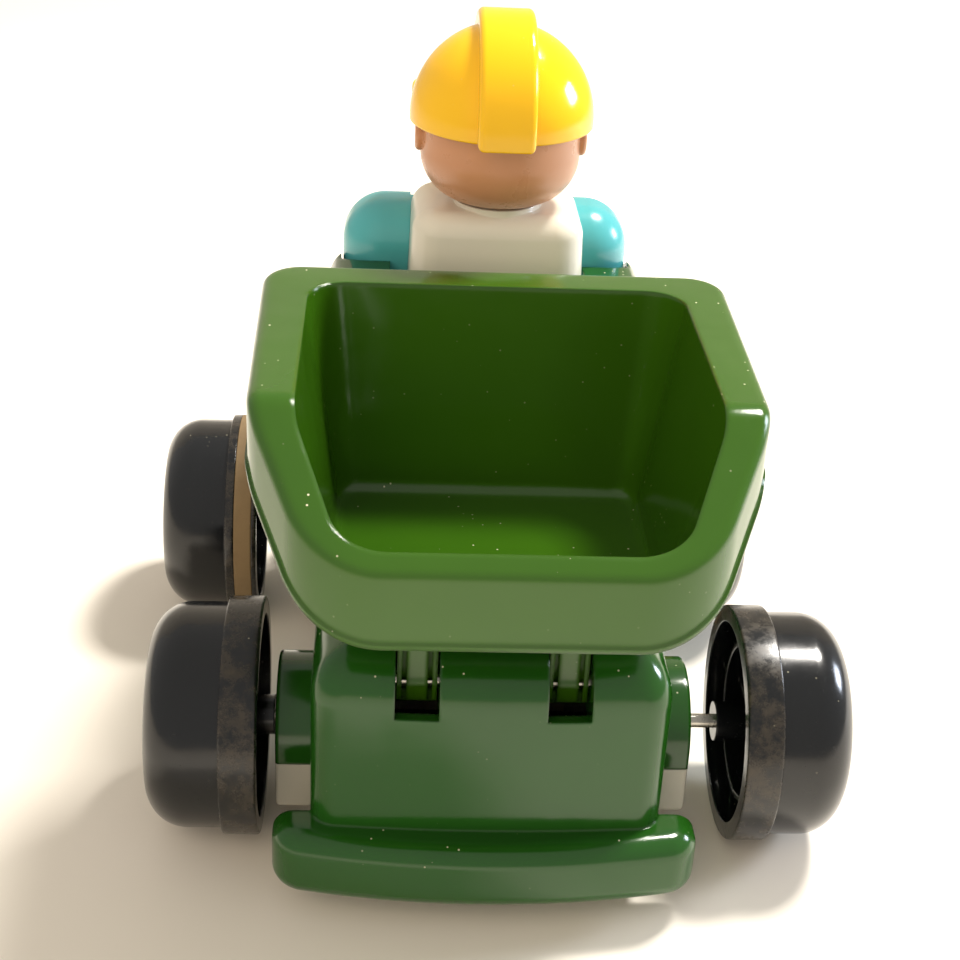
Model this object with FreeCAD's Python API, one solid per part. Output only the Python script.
import FreeCAD, Part
import math
import os

V = FreeCAD.Vector
os.makedirs("parts", exist_ok=True)

# A toy dump truck pushed along by a spring driver.  +Y is the way it drives, +X its right side,
# +Z up, millimetres, ground at Z = 0 and the origin under the middle of the whole toy.

# Wheels and axles
REAR_Y = -31.5            # rear axle
FRONT_Y = 55.8            # front axle
AXLE_Z = 25.0
AXLE_R = 1.5
RUN = 0.05                # radial running clearance
WHEEL_IN = 49.3           # inner face of a wheel when its axle is centred
WHEEL_W = 23.56
COLLAR_R = 25.0
COLLAR_W = 7.5
DOME_R = 23.64
HUB_R = 4.2
HUB_OUT = 2.5             # how far the hub stands in past the wheel's inner face
REAR_FLOAT = 3.2          # the rear axle has slid right by this much
FRONT_FLOAT = -3.2        # the front axle has slid left
LIP_IN = 1.1              # lip of a driven wheel beside its band
BAND_W = 4.3

# Chassis shell
HALF_W = 35.1
REAR_END = -64.5
FRONT_END = 85.5
TIP_Y = 88.45             # how far bed and front bumper reach
CORNER_R = 6.0
REAR_BAR_TOP = 21.2
REAR_ROUND = 11.0         # rounding where the rear of the deck falls away
SKIRT_Z = 10.9            # underside of shell and base plate
DECK_Z = 60.0
WALL = 2.4
BOSS_X = 42.9
BOSS_R = 13.7
SPLIT_Z = 22.2            # shell above, base plate below
SLOT_IN = 10.4
SLOT_OUT = 18.9
SLOT_Z = 47.5
SLOT_END = -46.5

# Bed hinge
PIN_Y = -53.5
PIN_Z = 50.0
PIN_R = 2.0
PIN_HALF = 22.5
ARM_W = 7.8
ARM_X = 14.65

# Dump bed
RIM_Z = 113.5
CREASE_Y = -61.2
SPOUT_DEG = 36.0
LIP_OUT = 0.45
LIP_H = 0.9
BED_REAR = LIP_OUT - TIP_Y
BED_FRONT = 3.0
SKIN = 2.3
SKIRT_H = 14.2
FLOOR_Z = 67.5
CREASE_R = 7.0

# Cab
CAB_REAR = 4.6
CAB_TOP = 103.9
CAB_SLOPE_Y = 38.5
HOOD_Z = 80.5
CAB_WALL = 2.1

# Driver
DRIVER_X = 1.4            # the driver sits a little to the right in a loose well
TORSO_HALF = 19.6
TORSO_REAR = 13.4
TORSO_FRONT = 45.0
TORSO_TOP = 120.0
TORSO_BOT = 82.0
HEAD_Y = 27.0
HEAD_R = 17.0
NECK_R = 4.0
BRIM_Z = 138.2
HAT_R = 19.6
STEER_Y = 65.0
STEER_Z = 99.5
STEER_TILT = 58.0

# Drive train: module 1 gears on shafts along X
MODULE = 1.0
SMALL_TEETH = 12
BIG_TEETH = 24
SHAFT_Z = 41.0
IDLER_Z = 36.4
IDLER_GAP = MODULE * SMALL_TEETH
SHAFT_GAP = 0.5 * MODULE * (SMALL_TEETH + BIG_TEETH)
IDLER_Y = FRONT_Y - math.sqrt(IDLER_GAP ** 2 - (IDLER_Z - AXLE_Z) ** 2)
SHAFT_Y = IDLER_Y - math.sqrt(SHAFT_GAP ** 2 - (SHAFT_Z - IDLER_Z) ** 2)
RACK_PITCH_Y = SHAFT_Y - 0.5 * MODULE * SMALL_TEETH
RACK_X = -2.5             # middle of the bar, beside the clutch
BAR_Y = RACK_PITCH_Y - 2.4


def box(x0, x1, y0, y1, z0, z1):
    return Part.makeBox(x1 - x0, y1 - y0, z1 - z0, V(x0, y0, z0))


def cyl_x(r, x0, x1, y, z):
    return Part.makeCylinder(r, x1 - x0, V(x0, y, z), V(1, 0, 0))


def cyl_z(r, x, y, z0, z1):
    return Part.makeCylinder(r, z1 - z0, V(x, y, z0), V(0, 0, 1))


def fuse_all(shapes):
    first = shapes[0]
    return first.multiFuse(shapes[1:]).removeSplitter()


def round_edges(shape, radius, pick):
    """Fillet the edges whose bounding box passes the test."""
    edges = [e for e in shape.Edges if pick(e)]
    return shape.makeFillet(radius, edges)


def is_along(edge, axis):
    """True for a straight edge along axis 0, 1 or 2."""
    box_e = edge.BoundBox
    spans = [box_e.XLength, box_e.YLength, box_e.ZLength]
    others = [s for i, s in enumerate(spans) if i != axis]
    return spans[axis] > 0.5 and max(others) < 1e-3


def is_across(edge, x):
    """True for an edge that lies in the plane at x."""
    box_e = edge.BoundBox
    return abs(box_e.XMin - x) < 1e-3 and box_e.XLength < 1e-3


def rounded_outline(points, z):
    """Closed wire through (x, y, corner radius) points at height z."""
    count = len(points)
    edges = []
    starts = []
    for i in range(count):
        px, py, _ = points[i - 1]
        cx, cy, r = points[i]
        nx, ny, _ = points[(i + 1) % count]
        here = V(cx, cy, z)
        back = (V(px, py, z) - here).normalize()
        ahead = (V(nx, ny, z) - here).normalize()
        half = 0.5 * back.getAngle(ahead)
        reach = r / math.tan(half)
        bisect = (back + ahead).normalize()
        middle = here + bisect * (r / math.sin(half) - r)
        starts.append((here + back * reach, middle, here + ahead * reach))
    for i in range(count):
        a, m, b = starts[i]
        edges.append(Part.Arc(a, m, b).toShape())
        nxt = starts[(i + 1) % count][0]
        edges.append(Part.LineSegment(b, nxt).toShape())
    return Part.Wire(edges)


def prism(points, z0, z1):
    face = Part.Face(rounded_outline(points, z0))
    return face.extrude(V(0, 0, z1 - z0))


def side_prism(points, half):
    """Polygon in Y and Z carried across from -half to half in X."""
    pts = [V(-half, y, z) for y, z in points]
    pts.append(pts[0])
    return Part.Face(Part.makePolygon(pts)).extrude(V(2 * half, 0, 0))


def wheel_blank():
    """Domed shell with its collar; the inner face is at x = 0 and the nose at x = WHEEL_W."""
    barrel = cyl_x(DOME_R, 1.0, WHEEL_W, 0, 0)
    barrel = round_edges(barrel, 8.5, lambda e: e.BoundBox.XMin > WHEEL_W - 1e-3)
    barrel = barrel.common(Part.makeSphere(300.0, V(WHEEL_W - 300.0, 0, 0)))
    collar = cyl_x(COLLAR_R, 0, COLLAR_W, 0, 0)
    collar = round_edges(collar, 0.5, lambda e: e.BoundBox.XLength < 1e-3)
    hollow = cyl_x(DOME_R - 2.2, -1, WHEEL_W - 2.6, 0, 0)
    hollow = round_edges(hollow, 6.6, lambda e: e.BoundBox.XMin > WHEEL_W - 2.7)
    return barrel.fuse(collar).cut(hollow).removeSplitter()


def wheel_inside():
    """Hub, ring and ribs that stiffen the hollow side."""
    deep = WHEEL_W - 1.5
    hub = cyl_x(HUB_R, -HUB_OUT, deep, 0, 0)
    ring = cyl_x(17.0, 3.0, deep, 0, 0).cut(cyl_x(15.8, 2.0, deep + 1, 0, 0))
    parts = [hub, ring]
    for i in range(8):
        turn = 45.0 * i
        outer = box(3.6, deep - 3.0, 16.4, DOME_R - 1.2, -0.6, 0.6)
        outer.rotate(V(0, 0, 0), V(1, 0, 0), turn)
        parts.append(outer)
        if i % 2 == 0:
            spoke = box(6.0, deep, HUB_R - 0.6, 16.4, -0.6, 0.6)
            spoke.rotate(V(0, 0, 0), V(1, 0, 0), turn)
            parts.append(spoke)
    return fuse_all(parts)


def wheel(side, banded):
    body = wheel_blank()
    body = fuse_all([body, wheel_inside()])
    body = body.cut(cyl_x(AXLE_R, -5, WHEEL_W - 4.0, 0, 0))
    if banded:
        body = body.cut(band_ring(COLLAR_R + 1.0))
    if side < 0:
        body = body.mirror(V(0, 0, 0), V(1, 0, 0))
    return body


def band_ring(outer_r):
    """Ring that fills the groove for the band, out to outer_r."""
    ring = cyl_x(outer_r, LIP_IN, LIP_IN + BAND_W, 0, 0)
    return ring.cut(cyl_x(COLLAR_R - 1.1, 0, COLLAR_W, 0, 0))


def traction_band():
    """Rubber band in the groove of a driven wheel."""
    return round_edges(band_ring(COLLAR_R), 0.35, lambda e: e.BoundBox.YLength > 2 * COLLAR_R - 0.5)


def place_wheel(shape, side, axle_y, slide):
    shape.translate(V(side * WHEEL_IN + slide, axle_y, AXLE_Z))
    return shape


def axle(axle_y, slide):
    half = WHEEL_IN + WHEEL_W - 4.2
    rod = cyl_x(AXLE_R, -half + slide, half + slide, axle_y, AXLE_Z)
    return rod.makeChamfer(0.3, rod.Edges)


# ---------------------------------------------------------------- chassis

def bowed_plan(half, rear, front, bow, corner, z0, z1):
    """Body plan with a slightly bowed rear and front face."""
    a = V(-half, rear + bow, z0)
    b = V(half, rear + bow, z0)
    c = V(half, front - bow, z0)
    d = V(-half, front - bow, z0)
    edges = [Part.Arc(a, V(0, rear, z0), b).toShape(), Part.LineSegment(b, c).toShape()]
    edges += [Part.Arc(c, V(0, front, z0), d).toShape(), Part.LineSegment(d, a).toShape()]
    solid = Part.Face(Part.Wire(edges)).extrude(V(0, 0, z1 - z0))
    return round_edges(solid, corner, lambda e: is_along(e, 2))


def boss_arch(axle_y, x_in, x_out, r, z_bottom):
    """Arch-topped pad that carries an axle end."""
    round_top = cyl_x(r, x_in, x_out, axle_y, AXLE_Z)
    legs = box(x_in, x_out, axle_y - r, axle_y + r, z_bottom, AXLE_Z)
    above = box(x_in, x_out, axle_y - r - 1, axle_y + r + 1, z_bottom, AXLE_Z + r + 1)
    return round_top.fuse(legs).common(above).removeSplitter()


def is_flat_rim(edge, y_back):
    """Level edges of a bumper, except the one buried in the shell at y_back."""
    b = edge.BoundBox
    buried = abs(b.YMin - y_back) + abs(b.YMax - y_back) < 0.01
    return b.ZLength < 1e-3 and not buried


def bumper(y_face, y_back, half, z0, z1, bow):
    """Rounded bar across one end."""
    s = 1 if y_face > y_back else -1
    a = V(-half, y_face - s * bow, z0)
    b = V(half, y_face - s * bow, z0)
    c = V(half, y_back, z0)
    d = V(-half, y_back, z0)
    edges = [Part.Arc(a, V(0, y_face, z0), b).toShape(), Part.LineSegment(b, c).toShape()]
    edges += [Part.LineSegment(c, d).toShape(), Part.LineSegment(d, a).toShape()]
    bar = Part.Face(Part.Wire(edges)).extrude(V(0, 0, z1 - z0))
    bar = round_edges(bar, 7.0, lambda e: is_along(e, 2) and s * e.BoundBox.YMin > s * y_back + 0.5)
    return round_edges(bar, 4.4, lambda e: is_flat_rim(e, y_back))


def is_deck_edge(edge, top):
    """The rear and side edges of the deck."""
    b = edge.BoundBox
    return b.ZMin > top - 1e-3 and (b.YMax < -40 or b.YLength > 60)


def shell_block(inset, bottom):
    """The shell's outer form, or the hollow that lies inset from it; the rear of the deck is rounder."""
    half = HALF_W - inset
    rear = REAR_END + inset
    front = FRONT_END - inset
    top = DECK_Z - inset
    corner = CORNER_R - 0.8 * inset
    block = bowed_plan(half, rear, front, 1.6, corner, bottom, top)
    block = round_edges(block, 3.5 - 0.6 * inset, lambda e: e.BoundBox.ZMin > top - 1e-3)
    fallen = bowed_plan(half, rear, front + 40, 1.6, corner, bottom, top)
    fallen = round_edges(fallen, REAR_ROUND - inset, lambda e: is_deck_edge(e, top))
    return block.common(fallen.fuse(box(-60, 60, CAB_REAR - 0.6, 140, 0, DECK_Z + 5)))


def chassis_shell():
    outer = shell_block(0.0, SKIRT_Z)
    inner = shell_block(WALL, SKIRT_Z - 1)
    rear_bar = bumper(REAR_END - 7.4, REAR_END + 6.0, 42.5, 6.6, REAR_BAR_TOP, 5.0)
    front_bar = bumper(TIP_Y, FRONT_END - 8.0, 44.0, 9.0, 22.0, 4.0)
    shell = outer.fuse([rear_bar, front_bar])
    for side in (-1, 1):
        for axle_y in (REAR_Y, FRONT_Y):
            x0 = min(side * 30.0, side * BOSS_X)
            x1 = max(side * 30.0, side * BOSS_X)
            arch = boss_arch(axle_y, x0, x1, BOSS_R, SPLIT_Z + 0.1)
            tip = 0.8
            arch = round_edges(arch, tip, lambda e: abs(abs(e.BoundBox.XMin) - BOSS_X) < 1e-3
                               and e.BoundBox.XLength < 1e-3 and e.BoundBox.ZMax > AXLE_Z)
            shell = shell.fuse(arch)
    shell = shell.cut(inner)
    for side in (-1, 1):
        for axle_y in (REAR_Y, FRONT_Y):
            x0 = min(side * 28.0, side * (BOSS_X - 2.2))
            x1 = max(side * 28.0, side * (BOSS_X - 2.2))
            shell = shell.cut(boss_arch(axle_y, x0, x1, BOSS_R - 2.2, SKIRT_Z - 1))
            wide = sorted((side * 30.0, side * 60.0))
            notch = box(wide[0], wide[1], axle_y - BOSS_R - 0.2, axle_y + BOSS_R + 0.2,
                        SKIRT_Z - 1, SPLIT_Z + 0.1)
            shell = shell.cut(notch)
            gap = AXLE_R + RUN
            keyhole = cyl_x(gap, wide[0], wide[1], axle_y, AXLE_Z)
            keyhole = keyhole.fuse(box(wide[0], wide[1], axle_y - gap, axle_y + gap, SPLIT_Z - 1, AXLE_Z))
            shell = shell.cut(keyhole)
    shell = shell.fuse([rib.common(outer) for rib in shell_ribs()])
    for side in (-1, 1):
        xs = sorted((side * SLOT_IN, side * SLOT_OUT))
        shell = shell.cut(box(xs[0], xs[1], REAR_END - 10, SLOT_END, SLOT_Z, DECK_Z + 5))
    shell = shell.cut(cyl_x(PIN_R, -PIN_HALF, PIN_HALF, PIN_Y, PIN_Z))
    for x, y in base_screw_spots():
        shell = shell.cut(cyl_z(1.2, x, y, 0, 30))
    for x, y in cab_screw_spots():
        shell = shell.cut(cyl_z(1.7, x, y, 50, 70))
    shell = shell.cut(box(RACK_X - 3.9, RACK_X + 3.9, RACK_PITCH_Y - 5.4, RACK_PITCH_Y + 1.4, 50, 70))
    return shell.removeSplitter()


def shell_ribs():
    """Screw posts and the ribs that hold the bed pin."""
    parts = []
    for x, y in base_screw_spots():
        post = cyl_z(3.6, x, y, SKIRT_Z + 2.6, DECK_Z - 1.0)
        parts.append(post)
    for side in (-1, 1):
        for near, far in ((SLOT_IN - 2.4, SLOT_IN), (SLOT_OUT, SLOT_OUT + 2.4)):
            xs = sorted((side * near, side * far))
            rib = box(xs[0], xs[1], REAR_END + 2.0, SLOT_END + 3.0, SLOT_Z - 3.5, DECK_Z - 1.0)
            parts.append(rib)
    return parts


def base_screw_spots():
    return [(sx * 27.6, y) for sx in (-1, 1) for y in (-56.5, 78.5)]


def cab_screw_spots():
    return [(sx * 26.5, y) for sx in (-1, 1) for y in (12.0, 66.0)]


def is_pad_underside(edge):
    """Lower edges of a base pad, except the one that meets the tray."""
    b = edge.BoundBox
    return b.ZMax < SKIRT_Z + 1e-3 and abs(b.XMax) + abs(b.XMin) > 60


def base_plate():
    inset = WALL + 0.25
    half = HALF_W - inset
    rear = REAR_END + inset
    front = FRONT_END - inset
    corner = CORNER_R - inset + 0.7
    plan = bowed_plan(half, rear, front, 1.6, corner, SKIRT_Z, SKIRT_Z + 2.4)
    tray = bowed_plan(half, rear, front, 1.6, corner, SKIRT_Z, SKIRT_Z + 7.0)
    hollow = bowed_plan(half - 1.6, rear + 1.6, front - 1.6, 1.6, corner - 1.6, SKIRT_Z + 2.4, SKIRT_Z + 8.0)
    plate = tray.cut(hollow).fuse(plan)
    parts = []
    hollows = []
    for side in (-1, 1):
        for axle_y in (REAR_Y, FRONT_Y):
            xs = sorted((side * 28.5, side * BOSS_X))
            pad = box(xs[0], xs[1], axle_y - BOSS_R, axle_y + BOSS_R, SKIRT_Z, SPLIT_Z)
            lower = lambda e: abs(abs(e.BoundBox.XMin) - BOSS_X) < 1e-3 and is_along(e, 2)
            pad = round_edges(pad, 0.8, lower)
            pad = round_edges(pad, 1.6, lambda e: is_pad_underside(e))
            parts.append(pad)
            xs = sorted((side * 20.0, side * (BOSS_X - 2.0)))
            hollows.append(box(xs[0], xs[1], axle_y - BOSS_R + 2.0, axle_y + BOSS_R - 2.0,
                               SKIRT_Z + 2.4, SPLIT_Z + 5))
    plate = plate.fuse(parts)
    for h in hollows:
        plate = plate.cut(h)
    ribs = []
    for y in (-50.0, -12.0, 10.0, 74.0):
        ribs.append(box(-20.0, 20.0, y - 0.8, y + 0.8, SKIRT_Z + 1.0, SKIRT_Z + 5.0))
    plate = plate.fuse(ribs)
    for x, y in base_screw_spots():
        plate = plate.cut(cyl_z(4.2, x, y, SKIRT_Z + 2.4, SKIRT_Z + 9.0))
        plate = plate.cut(cyl_z(1.7, x, y, 0, 30))
        plate = plate.cut(cyl_z(3.1, x, y, 0, SKIRT_Z + 1.0))
    for x, y in frame_screw_spots():
        plate = plate.cut(cyl_z(1.3, x, y, 0, SKIRT_Z + 2.5))
        plate = plate.cut(cyl_z(2.7, x, y, 0, SKIRT_Z + 1.0))
    return plate.removeSplitter()


def screw(x, y, z_head, head_r, shank_r, length):
    """Cross-head self-tapping screw put in from below; the head's flat face is at z_head."""
    head = cyl_z(head_r, x, y, z_head, z_head + 0.8)
    shank = cyl_z(shank_r, x, y, z_head + 0.5, z_head + length)
    body = head.fuse(shank)
    arm = 0.62 * head_r
    body = body.cut(box(x - arm, x + arm, y - 0.3, y + 0.3, z_head - 1, z_head + 0.45))
    body = body.cut(box(x - 0.3, x + 0.3, y - arm, y + arm, z_head - 1, z_head + 0.45))
    return body.removeSplitter()


def screws(spots, z_head, head_r, shank_r, length):
    """Equal screws, one at each spot, as separate solids."""
    return Part.makeCompound([screw(x, y, z_head, head_r, shank_r, length) for x, y in spots])


# ---------------------------------------------------------------- gear train

def gear_outline(teeth, backlash):
    """Straight-flanked outline in the Y Z plane, tooth 0 pointing along +Y."""
    pitch_r = 0.5 * MODULE * teeth
    tip_r = pitch_r + 0.95 * MODULE
    root_r = pitch_r - 1.2 * MODULE
    half_pitch = 0.25 * math.pi * MODULE - 0.5 * backlash
    lean = math.tan(math.radians(20.0))
    pts = []
    for i in range(teeth):
        a = 2 * math.pi * i / teeth
        for r, s in ((root_r, -1), (tip_r, -1), (tip_r, 1), (root_r, 1)):
            w = half_pitch - (r - pitch_r) * lean
            b = a + s * math.asin(max(0.12, w) / r)
            pts.append((r * math.cos(b), r * math.sin(b)))
    return pts


def gear(teeth, x0, x1, y, z, phase_deg, backlash):
    pts = [V(x0, py, pz) for py, pz in gear_outline(teeth, backlash)]
    pts.append(pts[0])
    body = Part.Face(Part.makePolygon(pts)).extrude(V(x1 - x0, 0, 0))
    body.rotate(V(0, 0, 0), V(1, 0, 0), phase_deg)
    body.translate(V(0, y, z))
    return body


def ratchet_ring(x0, x1, r_in, r_out, y, z, rise, up):
    """Ring of eight saw teeth on the face of a gear."""
    ring = cyl_x(r_out, x0, x1, y, z).cut(cyl_x(r_in, x0 - 1, x1 + 1, y, z))
    teeth = []
    for i in range(8):
        tooth = box(x1 if up else x0 - rise, x1 + rise if up else x0, r_in, r_out, -0.7, 0.7)
        tooth.rotate(V(0, 0, 0), V(1, 0, 0), 45.0 * i + (0.0 if up else 22.5))
        tooth.translate(V(0, y, z))
        teeth.append(tooth)
    return ring.fuse(teeth)


def bearing(y0, z0, y1, z1):
    """Direction from one shaft to another, degrees about +X from +Y."""
    return math.degrees(math.atan2(z1 - z0, y1 - y0))


def idler_phase():
    return bearing(IDLER_Y, IDLER_Z, SHAFT_Y, SHAFT_Z)


def axle_gear():
    """Driven gear pressed on the front axle, turned so that it meets the idler's teeth."""
    pitch = 360.0 / SMALL_TEETH
    line = bearing(IDLER_Y, IDLER_Z, FRONT_Y, AXLE_Z)
    late = (idler_phase() - line + 0.5 * pitch) % pitch - 0.5 * pitch
    phase = line + 180.0 - late - 0.5 * pitch
    body = gear(SMALL_TEETH, 6.8, 14.2, FRONT_Y, AXLE_Z, phase, 0.3)
    body = body.fuse(cyl_x(4.2, 5.6, 15.4, FRONT_Y, AXLE_Z))
    body.translate(V(FRONT_FLOAT, 0, 0))
    return body.cut(cyl_x(AXLE_R, -30, 30, FRONT_Y, AXLE_Z)).removeSplitter()


def idler_gear():
    body = gear(SMALL_TEETH, 4.2, 11.0, IDLER_Y, IDLER_Z, idler_phase(), 0.3)
    body = body.fuse(cyl_x(3.6, 3.4, 12.6, IDLER_Y, IDLER_Z))
    return body.cut(cyl_x(AXLE_R + RUN, -30, 30, IDLER_Y, IDLER_Z)).removeSplitter()


def drive_gear():
    """Large gear with the clutch's saw teeth on its left face."""
    gap_first = bearing(SHAFT_Y, SHAFT_Z, IDLER_Y, IDLER_Z) + 180.0 / BIG_TEETH
    body = gear(BIG_TEETH, 4.6, 10.6, SHAFT_Y, SHAFT_Z, gap_first, 0.3)
    dish = cyl_x(9.6, 8.4, 12.0, SHAFT_Y, SHAFT_Z).cut(cyl_x(4.6, 8.0, 13.0, SHAFT_Y, SHAFT_Z))
    body = body.cut(dish)
    body = body.fuse(cyl_x(3.8, 4.0, 13.0, SHAFT_Y, SHAFT_Z))
    body = body.fuse(ratchet_ring(3.5, 4.8, 2.5, 5.0, SHAFT_Y, SHAFT_Z, 0.9, False))
    return body.cut(cyl_x(AXLE_R + RUN, -30, 30, SHAFT_Y, SHAFT_Z)).removeSplitter()


def rack_pinion():
    """Small gear driven by the bar, with the clutch's other saw teeth."""
    body = gear(SMALL_TEETH, -5.5, 0.5, SHAFT_Y, SHAFT_Z, 180.0 + 180.0 / SMALL_TEETH, 0.3)
    body = body.fuse(cyl_x(5.0, 0.4, 1.0, SHAFT_Y, SHAFT_Z))
    body = body.fuse(ratchet_ring(0.4, 1.4, 2.5, 5.0, SHAFT_Y, SHAFT_Z, 0.9, True))
    return body.cut(cyl_x(AXLE_R + RUN, -30, 30, SHAFT_Y, SHAFT_Z)).removeSplitter()


def coil(radius, wire_r, pitch, height, cx, cy, z0):
    """Ten-sided wire wound as a helix standing on z0."""
    path = Part.makeLongHelix(pitch, height - 2 * wire_r, radius)
    ring = []
    for i in range(11):
        a = math.radians(36.0 * i)
        ring.append(V(radius + wire_r * math.cos(a), 0, wire_r * math.sin(a)))
    loop = Part.makePolygon(ring)
    body = Part.Wire(path.Edges).makePipeShell([loop], True, True)
    body.translate(V(cx, cy, z0 + wire_r))
    return body


def clutch_spring():
    body = coil(3.0, 0.35, 1.8, 7.4, 0, 0, 0)
    body.rotate(V(0, 0, 0), V(0, 1, 0), 90)
    body.translate(V(-13.2, SHAFT_Y, SHAFT_Z))
    return body


def push_rack():
    """Toothed bar under the driver, with a stop foot below the deck and a cap for the spring."""
    bar = box(RACK_X - 3.5, RACK_X + 3.5, RACK_PITCH_Y - 5.0, RACK_PITCH_Y - 1.2, 34.0, 98.2)
    teeth = []
    pitch = math.pi * MODULE
    half_tip = 0.25 * pitch - 0.15 - 0.95 * math.tan(math.radians(20.0))
    half_root = 0.25 * pitch - 0.15 + 1.2 * math.tan(math.radians(20.0))
    for i in range(-2, 7):
        z = SHAFT_Z + i * pitch
        root = RACK_PITCH_Y - 1.3
        tip = RACK_PITCH_Y + 0.95
        x0 = RACK_X - 3.0
        prof = [V(x0, root, z - half_root), V(x0, tip, z - half_tip)]
        prof += [V(x0, tip, z + half_tip), V(x0, root, z + half_root)]
        prof.append(prof[0])
        teeth.append(Part.Face(Part.makePolygon(prof)).extrude(V(6.0, 0, 0)))
    foot = box(RACK_X - 5.0, RACK_X + 4.6, RACK_PITCH_Y - 6.8, RACK_PITCH_Y - 1.2, 52.0, 57.2)
    cap = box(RACK_X - 8.2, RACK_X + 8.2, BAR_Y - 8.2, BAR_Y + 8.2, 98.2, 100.2)
    return bar.fuse(teeth + [foot, cap]).removeSplitter()


def return_spring():
    return coil(6.6, 0.6, 4.6, 37.9, RACK_X, BAR_Y, DECK_Z + 0.1)


def gear_frame():
    """Two cheeks on a foot that carry the drive shaft and the idler's shaft."""
    z0 = SKIRT_Z + 2.4
    foot = box(-17.5, 17.5, 20.0, 62.0, z0, z0 + 2.4)
    foot = foot.cut(box(-9.0, 4.0, 18.0, 32.0, z0 - 1, z0 + 5))
    foot = foot.cut(box(-9.0, 11.5, 36.0, 58.0, z0 - 1, z0 + 5))
    cheeks = []
    for x0 in (-15.6, 13.6):
        cheek = box(x0, x0 + 2.0, SHAFT_Y - 7.0, FRONT_Y + 5.0, z0, SHAFT_Z + 6.5)
        cheeks.append(round_edges(cheek, 6.0, lambda e: is_along(e, 0) and e.BoundBox.ZMin > 40))
    frame = foot.fuse(cheeks)
    frame = frame.cut(cyl_x(AXLE_R, -16.6, 15.0, SHAFT_Y, SHAFT_Z))
    frame = frame.cut(cyl_x(AXLE_R, -16.6, 15.0, IDLER_Y, IDLER_Z))
    frame = frame.cut(cyl_x(AXLE_R + 0.5, -30, 30, FRONT_Y, AXLE_Z))
    for x, y in frame_screw_spots():
        frame = frame.cut(cyl_z(1.0, x, y, 0, 40))
    return frame.removeSplitter()


def frame_screw_spots():
    return [(-12.0, 60.0), (12.0, 60.0), (-12.5, 24.0), (12.5, 24.0)]


# ---------------------------------------------------------------- dump bed

def rim_cutter(drop):
    """Everything above the rim surface: level, then falling away to the spout."""
    z = RIM_Z - drop
    far = BED_REAR - 20.0
    low = z - math.tan(math.radians(SPOUT_DEG)) * (CREASE_Y - far)
    front = BED_FRONT + 20
    above = side_prism([(front, z), (CREASE_Y, z), (far, low), (far, 200), (front, 200)], 80)
    return round_edges(above, CREASE_R, lambda e: is_along(e, 0) and abs(e.BoundBox.YMin - CREASE_Y) < 1e-3)


def bed_outline(grow):
    """Plan of the rim's outer edge, grown outward by grow."""
    g = grow
    return [(47.4 + g, BED_FRONT + g, 8.0 + g), (46.3 + g, CREASE_Y - 1.0, 24.0 + g),
            (33.6 + g, BED_REAR - g, 19.0 + g), (-33.6 - g, BED_REAR - g, 19.0 + g),
            (-46.3 - g, CREASE_Y - 1.0, 24.0 + g), (-47.4 - g, BED_FRONT + g, 8.0 + g)]


def tub_outline(grow, lift, z):
    """Plan of the tub; lift 1 is at the rim, lift 0 at the floor."""
    g = grow
    side = 31.6 + 6.2 * lift
    far = -9.2 + 2.2 * lift
    near = -62.2 - 35.5 * lift
    back = 28.5 + 0.6 * lift
    soft = 5.0 + 3.0 * lift
    bend = near + 12.0 + 20.0 * lift
    waist = 12.0 + 8.0 * lift + g
    tail = 6.0 + 7.0 * lift + g
    return rounded_outline([(side + g, far + g, soft + g), (side + g, bend, waist),
                            (back + g, near - g, tail), (-back - g, near - g, tail),
                            (-side - g, bend, waist), (-side - g, far + g, soft + g)], z)


def dump_bed():
    top = RIM_Z + 4.0
    lift = (top - FLOOR_Z) / (RIM_Z - FLOOR_Z)
    lower = (FLOOR_Z - 2.5 - FLOOR_Z) / (RIM_Z - FLOOR_Z)
    cavity = Part.makeLoft([tub_outline(0.0, 0.0, FLOOR_Z), tub_outline(0.0, lift, top)], True, True)
    cavity = round_edges(cavity, 2.6, lambda e: e.BoundBox.ZMax < FLOOR_Z + 1e-3)
    tub = Part.makeLoft([tub_outline(SKIN, lower, FLOOR_Z - 2.5), tub_outline(SKIN, lift, top)], True, True)
    tub = round_edges(tub, 4.0, lambda e: e.BoundBox.ZMax < FLOOR_Z - 2.5 + 1e-3)
    block = prism(bed_outline(0.0), 40.0, top + 10)
    crown = block.cut(rim_cutter(0.0))
    edge = lambda e: is_top_edge(e)
    crown = round_edges(crown, 2.4, edge)
    hollow = prism(bed_outline(-SKIN), 30.0, top + 10).cut(rim_cutter(SKIN))
    skirt = crown.cut(hollow)
    below = prism(bed_outline(5.0), 30.0, 130.0).cut(rim_cutter(SKIRT_H))
    skirt = skirt.cut(below)
    lip = prism(bed_outline(LIP_OUT), 30.0, top + 10).cut(prism(bed_outline(-1.0), 20.0, top + 20))
    lip = lip.cut(rim_cutter(SKIRT_H - LIP_H)).cut(below)
    body = skirt.fuse([tub.cut(rim_cutter(0.0)).common(block), lip])
    body = body.fuse(bed_arms())
    body = body.cut(cavity)
    body = body.cut(cyl_x(PIN_R + RUN, -60, 60, PIN_Y, PIN_Z))
    return body.removeSplitter()


def is_top_edge(edge):
    """Outer edges of the rim surface, level part and spout part."""
    b = edge.BoundBox
    if b.ZMax > RIM_Z + 1e-3 or b.ZMin < 60:
        return False
    mid = edge.valueAt(0.5 * (edge.FirstParameter + edge.LastParameter))
    fall = max(0.0, CREASE_Y - mid.y) * math.tan(math.radians(SPOUT_DEG))
    on_rim = abs(mid.z - (RIM_Z - fall)) < 0.45
    across = b.XLength > 60 and abs(mid.y - CREASE_Y) < 4.0
    return on_rim and not across


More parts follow.
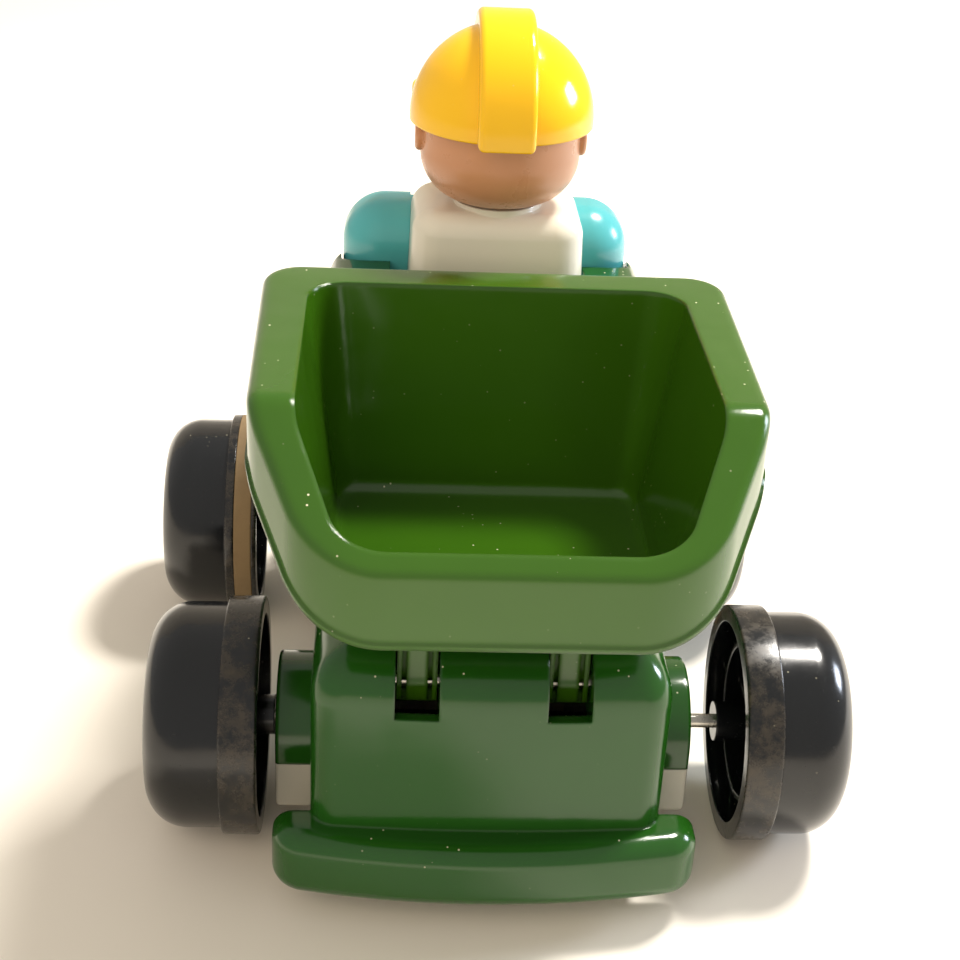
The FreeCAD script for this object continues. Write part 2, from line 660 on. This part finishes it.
def bed_arms():
    """Two hinge arms under the floor, grooved on the rear, and two rest ribs."""
    parts = []
    for side in (-1, 1):
        xc = side * ARM_X
        arm = box(xc - ARM_W / 2, xc + ARM_W / 2, PIN_Y - 3.6, PIN_Y + 4.4, PIN_Z, FLOOR_Z - 1.0)
        arm = arm.fuse(cyl_x(4.4, xc - ARM_W / 2, xc + ARM_W / 2, PIN_Y, PIN_Z))
        trim = box(xc - 10, xc + 10, PIN_Y - 10, PIN_Y - 3.6, PIN_Z - 10, PIN_Z + 1)
        arm = arm.cut(trim)
        for dx in (-2.5, 2.5):
            groove = box(xc + dx - 0.45, xc + dx + 0.45, PIN_Y - 5, PIN_Y - 1.9,
                         PIN_Z - 3.0, FLOOR_Z - 2.6)
            arm = arm.cut(groove)
        parts.append(arm)
        parts.append(box(xc - 1.2, xc + 1.2, -34.0, -12.0, DECK_Z + 0.35, FLOOR_Z - 1.0))
    return parts


# ---------------------------------------------------------------- cab

def cab_profile(shrink):
    s = shrink
    slope = (CAB_TOP - HOOD_Z) / (84.0 - CAB_SLOPE_Y)
    return [(CAB_REAR + s, DECK_Z + 0.0), (CAB_REAR + s, CAB_TOP - s), (CAB_SLOPE_Y - 0.2 * s, CAB_TOP - s),
            (84.0 - s, CAB_TOP - s - slope * (84.0 - CAB_SLOPE_Y - 0.8 * s)), (85.4 - s, DECK_Z + 0.0)]


def cab():
    outer = side_prism(cab_profile(0.0), HALF_W)
    outer = round_edges(outer, 6.0, lambda e: is_roof_side(e))
    outer = round_edges(outer, 2.4, lambda e: is_front_or_back(e))
    inner_profile = [(y, z - (1.0 if z < DECK_Z + 1 else 0.0)) for y, z in cab_profile(CAB_WALL)]
    body = outer.cut(side_prism(inner_profile, HALF_W - CAB_WALL))
    well = TORSO_HALF + DRIVER_X + 0.5
    back_well = [(well, 12.6, 5.0), (well, 50.0, 1.0), (-well, 50.0, 1.0), (-well, 12.6, 5.0)]
    arm_well = [(32.6, 31.0, 5.0), (32.6, 70.0, 7.0), (-32.6, 70.0, 7.0), (-32.6, 31.0, 5.0)]
    body = body.cut(prism(back_well, 75, 150))
    body = body.cut(prism(arm_well, 70, 150))
    posts = []
    for x, y in cab_screw_spots():
        xs = sorted((x, math.copysign(33, x)))
        posts.append(cyl_z(3.4, x, y, DECK_Z, 71.0))
        posts.append(box(xs[0], xs[1], y - 0.8, y + 0.8, DECK_Z, 71.0))
    lamps = []
    for side in (-1, 1):
        lamps.append(Part.makeCylinder(6.0, 6.0, V(side * 22.0, 81.0, 70.0), V(0, 1, 0)))
    lamps = [round_edges(s, 1.6, lambda e: e.BoundBox.YMin > 86.9) for s in lamps]
    for i in range(4):
        z = 64.5 + 3.6 * i
        bar = box(-12.0, 12.0, 82.0, 86.6, z - 0.9, z + 0.9)
        lamps.append(bar)
    body = body.fuse(posts + lamps)
    for x, y in cab_screw_spots():
        body = body.cut(cyl_z(1.2, x, y, 50, 69.0))
    return body.removeSplitter()


def is_roof_side(edge):
    """The long edges where the cab's roof and bonnet meet its sides."""
    b = edge.BoundBox
    return b.ZMin > DECK_Z + 1 and b.XLength < 1e-3 and b.YLength > 10


def is_front_or_back(edge):
    """Rear and front outer edges of the cab shell, left sharp along the deck."""
    b = edge.BoundBox
    above_deck = b.ZMin > DECK_Z - 0.01 and b.ZMax > DECK_Z + 0.5
    return above_deck and b.YLength < 3.0 and b.ZLength + b.XLength > 3.0


# ---------------------------------------------------------------- driver

def soft_block(x0, x1, y0, y1, z0, z1, r):
    body = box(x0, x1, y0, y1, z0, z1)
    return body.makeFillet(r, body.Edges)


def bust_form(grow):
    """The bust's outer form, standing in the well, grown outward by grow."""
    low_half = TORSO_HALF + grow
    high_half = TORSO_HALF - 1.2 + grow
    rear = TORSO_REAR - grow
    front = TORSO_FRONT + grow
    low = rounded_outline([(low_half, rear, 6.5), (low_half, front, 6.5),
                           (-low_half, front, 6.5), (-low_half, rear, 6.5)], TORSO_BOT)
    high = rounded_outline([(high_half, rear + 1.6, 6.5), (high_half, front - 1.5, 6.5),
                            (-high_half, front - 1.5, 6.5), (-high_half, rear + 1.6, 6.5)], TORSO_TOP)
    form = Part.makeLoft([low, high], True, True)
    form.translate(V(DRIVER_X, 0, 0))
    return form


def driver_torso():
    """Hollow bust, a little wider at the bottom, with the neck disc and a socket for the bar."""
    body = bust_form(0.0)
    body = round_edges(body, 5.0, lambda e: e.BoundBox.ZMin > TORSO_TOP - 1e-3)
    hollow = box(-15.0, 15.0, TORSO_REAR + 3.6, TORSO_FRONT - 3.4, TORSO_BOT - 1, TORSO_TOP - 3.0)
    hollow = round_edges(hollow, 3.0, lambda e: is_along(e, 2))
    body = body.cut(hollow)
    neck = cyl_z(9.5, DRIVER_X, HEAD_Y, TORSO_TOP - 4.0, TORSO_TOP + 1.0)
    pin = cyl_z(NECK_R, DRIVER_X, HEAD_Y, TORSO_TOP, TORSO_TOP + 9.0)
    bead = Part.makeSphere(4.7, V(DRIVER_X, HEAD_Y, TORSO_TOP + 9.0))
    bead = bead.common(box(-8, 8, HEAD_Y - 6, HEAD_Y + 6, TORSO_TOP + 6.0, TORSO_TOP + 12.0))
    socket = box(RACK_X - 9.0, RACK_X + 9.0, 17.0, BAR_Y + 9.0, 100.2, TORSO_TOP - 1.0)
    socket = socket.cut(box(RACK_X - 7.0, RACK_X + 7.0, 19.0, BAR_Y + 7.0, 100.0, TORSO_TOP - 3.0))
    side_keys = [box(-22.5, -15.0, 34.5, 38.5, 94.0, 106.0), box(15.0, 22.5, 34.5, 38.5, 94.0, 106.0)]
    return body.fuse([neck, pin, bead, socket] + side_keys).removeSplitter()


def driver_arm(side):
    """Sleeve: a big soft shoulder and a forearm reaching forward to the wheel."""
    shoulder = soft_block(6.0, 32.2, 31.5, 54.0, 92.0, 115.2, 9.5)
    fore = soft_block(22.0, 31.4, 42.0, 68.0, 90.0, 103.0, 4.6)
    arm = shoulder.fuse(fore)
    beside_bust = TORSO_HALF - 1.0 + side * DRIVER_X
    arm = arm.cut(box(0, beside_bust, TORSO_FRONT - 1.0, 80.0, 70.0, 130.0))
    arm = arm.cut(box(0, 22.6, 34.4, 38.6, 93.9, 106.1))
    if side < 0:
        arm = arm.mirror(V(0, 0, 0), V(1, 0, 0))
    return arm.cut(bust_form(0.0)).removeSplitter()


def driver_hand(side):
    """Mitten on the steering wheel rim, plugged into the sleeve."""
    fist = soft_block(12.5, 23.5, 60.0, 69.4, 92.6, 101.4, 4.0)
    plug = Part.makeCylinder(2.6, 8.0, V(23.0, 62.0, 96.6), V(1, 0, 0))
    hand = fist.fuse(plug)
    if side < 0:
        hand = hand.mirror(V(0, 0, 0), V(1, 0, 0))
    return hand.removeSplitter()


def steering_wheel():
    ring = Part.makeTorus(14.0, 1.6, V(0, 0, 0), V(0, 0, 1))
    hub = cyl_z(4.5, 0, 0, -1.6, 1.8)
    hub = round_edges(hub, 1.2, lambda e: e.BoundBox.ZMin > 1.7)
    spokes = []
    for turn in (0, 180, 270):
        arm = box(2.0, 13.5, -1.3, 1.3, -0.9, 0.9)
        arm.rotate(V(0, 0, 0), V(0, 0, 1), turn)
        spokes.append(arm)
    wheel_body = ring.fuse([hub] + spokes)
    wheel_body.rotate(V(0, 0, 0), V(1, 0, 0), STEER_TILT)
    wheel_body.translate(V(0, STEER_Y, STEER_Z))
    return wheel_body.removeSplitter()


def driver_head():
    """Round-bottomed head with ears, hollow, and open below for the neck pin."""
    low = 121.4
    mid = 132.5
    temple = 137.5
    crown = temple + HEAD_R
    slant = HEAD_R * math.sqrt(0.5)
    hole = NECK_R + RUN
    hollow_r = 13.6
    hollow_z = 138.5
    hollow_low = hollow_z - math.sqrt(hollow_r ** 2 - hole ** 2)
    outer_low = Part.Arc(V(9.0, 0, low), V(14.9, 0, low + 3.6), V(HEAD_R, 0, mid)).toShape()
    side = Part.LineSegment(V(HEAD_R, 0, mid), V(HEAD_R, 0, temple)).toShape()
    outer_top = Part.Arc(V(HEAD_R, 0, temple), V(slant, 0, temple + slant), V(0, 0, crown)).toShape()
    hollow_top = V(0, 0, hollow_z + hollow_r)
    wall = Part.LineSegment(V(0, 0, crown), hollow_top).toShape()
    hollow = Part.Arc(hollow_top, V(hollow_r, 0, hollow_z), V(hole, 0, hollow_low)).toShape()
    bore = Part.LineSegment(V(hole, 0, hollow_low), V(hole, 0, low)).toShape()
    base = Part.LineSegment(V(hole, 0, low), V(9.0, 0, low)).toShape()
    face = Part.Face(Part.Wire([outer_low, side, outer_top, wall, hollow, bore, base]))
    body = face.revolve(V(0, 0, 0), V(0, 0, 1), 360)
    ears = []
    for side_x in (-1, 1):
        x0 = 15.0 if side_x > 0 else -18.3
        ear = Part.makeCylinder(3.6, 3.3, V(x0, 0.0, 134.6), V(1, 0, 0))
        rim_x = 18.3 * side_x
        ears.append(round_edges(ear, 1.0, lambda e: is_across(e, rim_x)))
    nose = Part.makeSphere(3.0, V(0, HEAD_R + 0.4, 132.0))
    body = body.fuse(ears + [nose])
    body.translate(V(DRIVER_X, HEAD_Y, 0))
    return body.removeSplitter()


def dome(radius, z_flat, z_centre):
    """Half ball on a short straight skirt, about the head's axis."""
    ball = Part.makeSphere(radius, V(0, HEAD_Y, z_centre))
    cap = ball.common(box(-40, 40, HEAD_Y - 40, HEAD_Y + 40, z_centre, z_centre + 40))
    skirt = cyl_z(radius, 0, HEAD_Y, z_flat, z_centre)
    return cap.fuse(skirt).removeSplitter()


def helmet_crest(z_centre):
    """Broad strap over the dome, upright at the back where it reaches the hat's edge."""
    half = 5.9
    over = Part.makeCylinder(HAT_R + 2.6, 2 * half, V(-half, HEAD_Y, z_centre), V(1, 0, 0))
    over = over.common(box(-10, 10, HEAD_Y - 40, HEAD_Y + 40, z_centre, z_centre + 40))
    down = box(-half, half, HEAD_Y - HAT_R - 2.6, HEAD_Y + HAT_R + 1.0, BRIM_Z - 0.6, z_centre)
    strap = over.fuse(down).removeSplitter()
    return round_edges(strap, 1.3, lambda e: e.BoundBox.XLength < 1e-3)


def driver_helmet():
    """Hard hat with a broad crest and a short front brim."""
    z_c = 139.0
    shell = dome(HAT_R, BRIM_Z, z_c)
    shade = prism([(19.3, HEAD_Y + 4.0, 2.0), (18.8, HEAD_Y + 27.0, 9.0), (-18.8, HEAD_Y + 27.0, 9.0),
                   (-19.3, HEAD_Y + 4.0, 2.0)], BRIM_Z, BRIM_Z + 2.6)
    shade = round_edges(shade, 0.9, lambda e: e.BoundBox.ZLength < 1e-3)
    body = shell.fuse([helmet_crest(z_c), shade]).removeSplitter()
    body = body.cut(dome(HEAD_R + 0.05, BRIM_Z - 5, 138.0))
    body.translate(V(DRIVER_X, 0, 0))
    return body.removeSplitter()


# ---------------------------------------------------------------- write every node

shapes = {}
shapes["chassis_shell"] = chassis_shell()
shapes["base_plate"] = base_plate()
shapes["base_screws"] = screws(base_screw_spots(), SKIRT_Z + 0.15, 2.9, 1.2, 11.0)
shapes["frame_screws"] = screws(frame_screw_spots(), SKIRT_Z + 0.15, 2.5, 1.0, 4.4)
shapes["cab_screws"] = screws(cab_screw_spots(), DECK_Z - WALL - 0.9, 2.7, 1.2, 11.0)
shapes["cab"] = cab()
shapes["hinge_pin"] = cyl_x(PIN_R, -PIN_HALF, PIN_HALF, PIN_Y, PIN_Z)
shapes["dump_bed"] = dump_bed()
shapes["rear_axle"] = axle(REAR_Y, REAR_FLOAT)
shapes["front_axle"] = axle(FRONT_Y, FRONT_FLOAT)
shapes["rear_wheel_left"] = place_wheel(wheel(-1, False), -1, REAR_Y, REAR_FLOAT)
shapes["rear_wheel_right"] = place_wheel(wheel(1, False), 1, REAR_Y, REAR_FLOAT)
shapes["front_wheel_left"] = place_wheel(wheel(-1, True), -1, FRONT_Y, FRONT_FLOAT)
shapes["front_wheel_right"] = place_wheel(wheel(1, True), 1, FRONT_Y, FRONT_FLOAT)
left_band = traction_band().mirror(V(0, 0, 0), V(1, 0, 0))
shapes["traction_band_left"] = place_wheel(left_band, -1, FRONT_Y, FRONT_FLOAT)
shapes["traction_band_right"] = place_wheel(traction_band(), 1, FRONT_Y, FRONT_FLOAT)
shapes["axle_gear"] = axle_gear()
shapes["drive_gear"] = drive_gear()
shapes["rack_pinion"] = rack_pinion()
shapes["clutch_spring"] = clutch_spring()
shapes["drive_shaft"] = cyl_x(AXLE_R, -16.5, 14.9, SHAFT_Y, SHAFT_Z)
shapes["idler_shaft"] = cyl_x(AXLE_R, -16.5, 14.9, IDLER_Y, IDLER_Z)
shapes["idler_gear"] = idler_gear()
shapes["gear_frame"] = gear_frame()
shapes["push_rack"] = push_rack()
shapes["return_spring"] = return_spring()
shapes["driver_torso"] = driver_torso()
grip = steering_wheel()
shapes["steering_wheel"] = grip
for name, side in (("left", -1), ("right", 1)):
    hand = driver_hand(side).cut(grip)
    arm = driver_arm(side).cut(driver_hand(side))
    shapes["driver_hand_" + name] = hand
    shapes["driver_arm_" + name] = arm
shapes["driver_head"] = driver_head()
shapes["driver_helmet"] = driver_helmet()

for node, shape in shapes.items():
    solids = shape.Solids
    print(node, "solids", len(solids), "valid", shape.isValid(), "volume", round(shape.Volume, 1),
          [round(v, 2) for v in (shape.BoundBox.XMin, shape.BoundBox.XMax, shape.BoundBox.YMin,
                                 shape.BoundBox.YMax, shape.BoundBox.ZMin, shape.BoundBox.ZMax)])
    shape.exportStep("parts/" + node + ".step")
